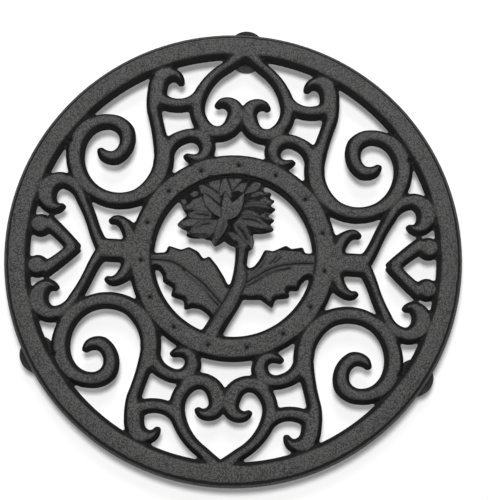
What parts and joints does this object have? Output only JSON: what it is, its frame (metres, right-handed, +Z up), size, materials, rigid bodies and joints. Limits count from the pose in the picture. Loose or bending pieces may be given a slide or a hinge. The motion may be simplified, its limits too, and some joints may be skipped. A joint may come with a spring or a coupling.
{
  "type": "trivet",
  "caption": "Round cast-iron trivet: openwork scrolls between a rim and a flower medallion, on pegs with rubber caps, to hold a hot pot off the table.",
  "frame": {"origin": "on the table, on the axis of the round rim, under the middle of the medallion", "axes": "+Z up, square to the plate; +Y towards the back foot, the way the flower's head points; +X to the right"},
  "size_m": [0.16, 0.1622, 0.017],
  "materials": {
    "iron": "black paint over sand-cast grain",
    "rubber": "matte"
  },
  "bodies": {
    "root": {"casting": "iron", "foot_cap_back": "rubber", "foot_cap_left": "rubber", "foot_cap_right": "rubber"}
  },
  "joints": []
}
